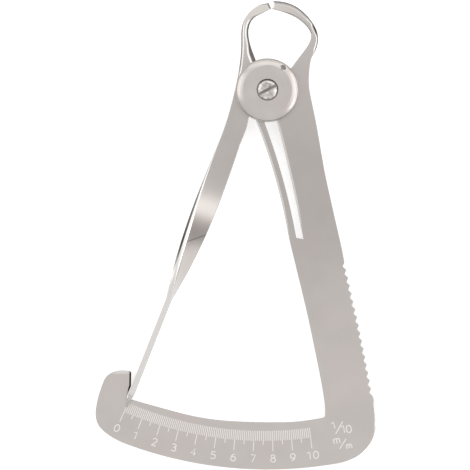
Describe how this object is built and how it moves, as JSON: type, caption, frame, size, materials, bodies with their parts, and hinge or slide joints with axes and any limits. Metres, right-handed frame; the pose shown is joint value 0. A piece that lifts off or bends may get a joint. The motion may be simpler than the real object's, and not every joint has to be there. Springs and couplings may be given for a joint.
{
  "type": "decimal thickness caliper",
  "caption": "Hand caliper with two curved outside jaws, a sprung pivot, a quarter-twisted pointer arm and a curved decimal scale that reads the gap between the jaw tips.",
  "frame": {"origin": "pivot axis at the rear face of the rear disc, the face that the tool lies on", "axes": "+Y from the pivot towards the jaws, +Z towards the reader, +X towards the scale arm"},
  "size_m": [0.0622, 0.1041, 0.0059],
  "materials": {
    "satin_steel": "satin ground stainless plate with polished edges",
    "bright_steel": "turned and polished stainless discs",
    "spring_steel": "stainless spring strip",
    "screw_steel": "turned screw, washer, bush and pin"
  },
  "bodies": {
    "frame": {"scale_arm": "satin_steel", "front_disc": "bright_steel", "rear_disc": "bright_steel", "pivot_bush": "screw_steel", "pivot_screw": "screw_steel", "spring_washer": "screw_steel", "disc_pin": "screw_steel"},
    "pointer": {"pointer_arm": "satin_steel"},
    "leaf": {"leaf_spring": "spring_steel"}
  },
  "joints": [
    {"name": "arm_swing", "type": "hinge", "parent": "frame", "child": "pointer", "pos_m": [0, 0, 0.00295], "axis": [0, 0, 1], "range_deg": [0, 31.1], "stiffness_Nm_per_rad": 0.03, "springref_deg": -17.19},
    {"name": "leaf_flex", "type": "hinge", "parent": "frame", "child": "leaf", "pos_m": [0.00565, -0.0329, 0.00295], "axis": [0, 0, 1], "range_deg": [-6, 0.5]}
  ],
  "couplings": [
    {"joint": "leaf_flex", "follows": "arm_swing", "ratio": -0.185}
  ]
}
